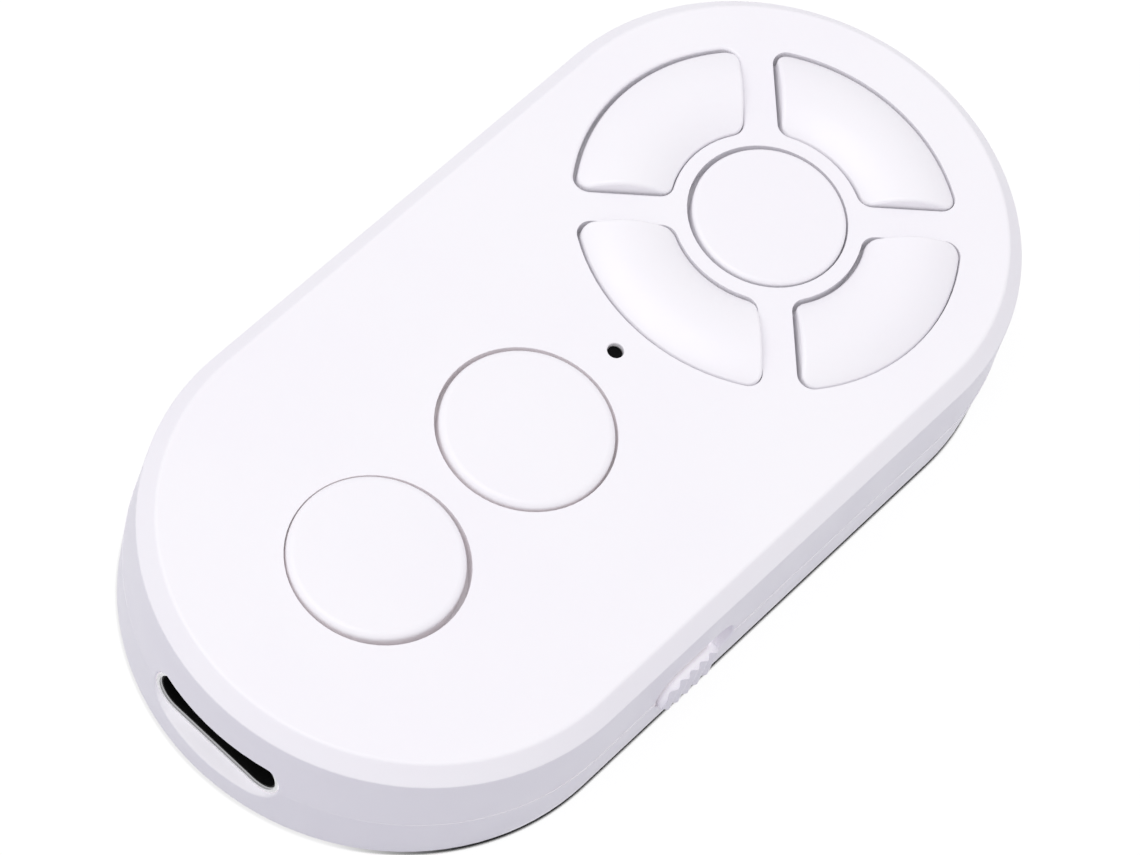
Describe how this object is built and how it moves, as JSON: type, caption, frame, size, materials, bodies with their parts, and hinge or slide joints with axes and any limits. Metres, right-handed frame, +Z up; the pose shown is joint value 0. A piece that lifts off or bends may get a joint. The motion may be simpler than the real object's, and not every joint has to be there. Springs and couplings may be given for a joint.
{
  "type": "bluetooth remote",
  "caption": "Flat pill-shaped remote with a ring of four bulging buttons, three round buttons, a side slider and a charging socket.",
  "frame": {"origin": "middle of the flat underside, between the centres of the two half-round ends", "axes": "+Z up through the buttons; +Y along the body from the charging socket to the button ring; +X toward the slider"},
  "size_m": [0.0305, 0.0597, 0.0101],
  "materials": {
    "cover_plastic": "smooth satin moulding",
    "button_plastic": "smooth satin moulding",
    "slider_plastic": "smooth satin moulding",
    "window_plastic": "dark tinted light guide",
    "board_laminate": "green solder mask",
    "switch_housing": "moulded",
    "switch_plunger": "moulded",
    "screw_steel": "zinc plated",
    "socket_steel": "drawn and plated",
    "socket_plastic": "moulded",
    "contact_gold": "plated",
    "cell_foil": "pouch foil",
    "tape_foam": "foam with adhesive faces",
    "red_sleeve": "extruded sleeve",
    "black_sleeve": "extruded sleeve",
    "lamp_lens": "cast resin",
    "chip_resin": "moulded resin",
    "crystal_can": "plated can",
    "capacitor_body": "sintered"
  },
  "bodies": {
    "body": {"top_cover": "cover_plastic", "bottom_cover": "cover_plastic", "indicator_window": "window_plastic", "circuit_board": "board_laminate", "battery_board": "board_laminate", "up_switch": "switch_housing", "down_switch": "switch_housing", "left_switch": "switch_housing", "right_switch": "switch_housing", "center_switch": "switch_housing", "upper_round_switch": "switch_housing", "lower_round_switch": "switch_housing", "slide_switch": "switch_housing", "board_screws": "screw_steel", "socket_shell": "socket_steel", "socket_tongue": "socket_plastic", "socket_contacts": "contact_gold", "antenna_track": "contact_gold", "battery_cell": "cell_foil", "battery_tape": "tape_foam", "red_lead": "red_sleeve", "black_lead": "black_sleeve", "indicator_led": "lamp_lens", "radio_chip": "chip_resin", "charger_chip": "chip_resin", "resistors": "chip_resin", "crystal": "crystal_can", "capacitors": "capacitor_body"},
    "up_button": {"up_button": "button_plastic", "up_plunger": "switch_plunger"},
    "down_button": {"down_button": "button_plastic", "down_plunger": "switch_plunger"},
    "left_button": {"left_button": "button_plastic", "left_plunger": "switch_plunger"},
    "right_button": {"right_button": "button_plastic", "right_plunger": "switch_plunger"},
    "center_button": {"center_button": "button_plastic", "center_plunger": "switch_plunger"},
    "upper_round_button": {"upper_round_button": "button_plastic", "upper_round_plunger": "switch_plunger"},
    "lower_round_button": {"lower_round_button": "button_plastic", "lower_round_plunger": "switch_plunger"},
    "slider": {"slider_knob": "slider_plastic", "slide_switch_lever": "switch_plunger"}
  },
  "joints": [
    {"name": "up_press", "type": "slide", "parent": "body", "child": "up_button", "axis": [0, 0, -1], "range_m": [0, 0.00025], "stiffness_N_per_m": 4000, "springref_m": -0.0002},
    {"name": "down_press", "type": "slide", "parent": "body", "child": "down_button", "axis": [0, 0, -1], "range_m": [0, 0.00025], "stiffness_N_per_m": 4000, "springref_m": -0.0002},
    {"name": "left_press", "type": "slide", "parent": "body", "child": "left_button", "axis": [0, 0, -1], "range_m": [0, 0.00025], "stiffness_N_per_m": 4000, "springref_m": -0.0002},
    {"name": "right_press", "type": "slide", "parent": "body", "child": "right_button", "axis": [0, 0, -1], "range_m": [0, 0.00025], "stiffness_N_per_m": 4000, "springref_m": -0.0002},
    {"name": "center_press", "type": "slide", "parent": "body", "child": "center_button", "axis": [0, 0, -1], "range_m": [0, 0.00025], "stiffness_N_per_m": 4000, "springref_m": -0.0002},
    {"name": "upper_round_press", "type": "slide", "parent": "body", "child": "upper_round_button", "axis": [0, 0, -1], "range_m": [0, 0.00025], "stiffness_N_per_m": 4000, "springref_m": -0.0002},
    {"name": "lower_round_press", "type": "slide", "parent": "body", "child": "lower_round_button", "axis": [0, 0, -1], "range_m": [0, 0.00025], "stiffness_N_per_m": 4000, "springref_m": -0.0002},
    {"name": "slider_travel", "type": "slide", "parent": "body", "child": "slider", "axis": [0, 1, 0], "range_m": [0, 0.0015]}
  ]
}
